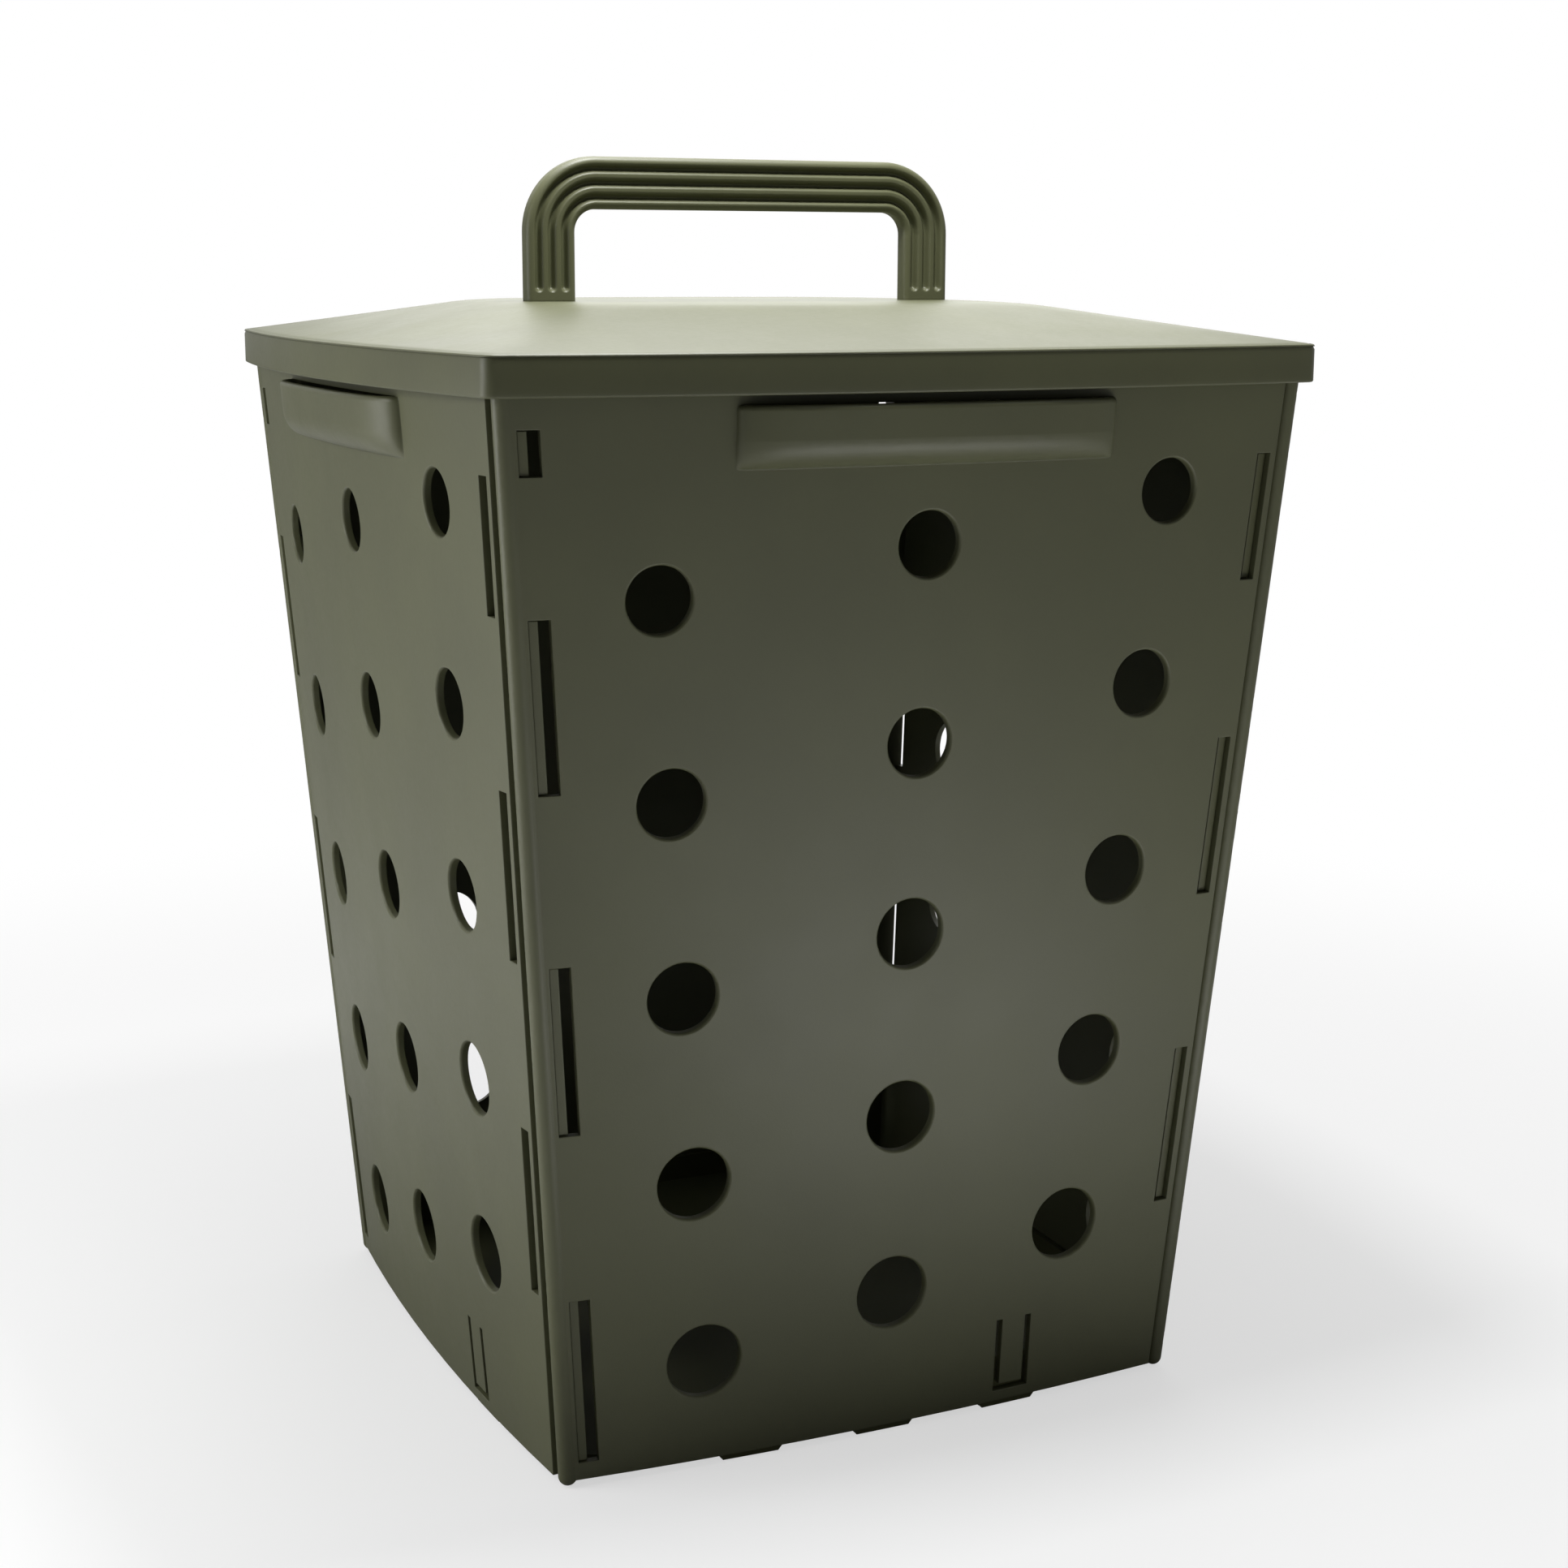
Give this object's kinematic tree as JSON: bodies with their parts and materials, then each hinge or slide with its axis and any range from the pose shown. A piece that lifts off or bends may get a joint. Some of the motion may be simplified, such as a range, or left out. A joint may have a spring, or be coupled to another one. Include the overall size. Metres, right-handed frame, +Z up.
{
  "type": "compost bin",
  "caption": "Tapered flat-pack compost bin with perforated bowed side panels hooked at the corners, a raised floor and a lift-off lid with a grooved bow handle.",
  "frame": {"origin": "on the ground under the middle of the floor", "axes": "+Z up out of the bin, front panel facing -Y, lid handle along X"},
  "size_m": [0.2818, 0.2818, 0.3862],
  "materials": {
    "olive_plastic": "satin moulded plastic, dark olive"
  },
  "bodies": {
    "bin": {"front_panel": "olive_plastic", "right_panel": "olive_plastic", "back_panel": "olive_plastic", "left_panel": "olive_plastic", "floor_tray": "olive_plastic"},
    "lid": {"lid": "olive_plastic", "lid_handle": "olive_plastic"}
  },
  "joints": [
    {"name": "lid_lift", "type": "slide", "parent": "bin", "child": "lid", "axis": [0, 0, 1], "range_m": [0, 0.18]}
  ]
}
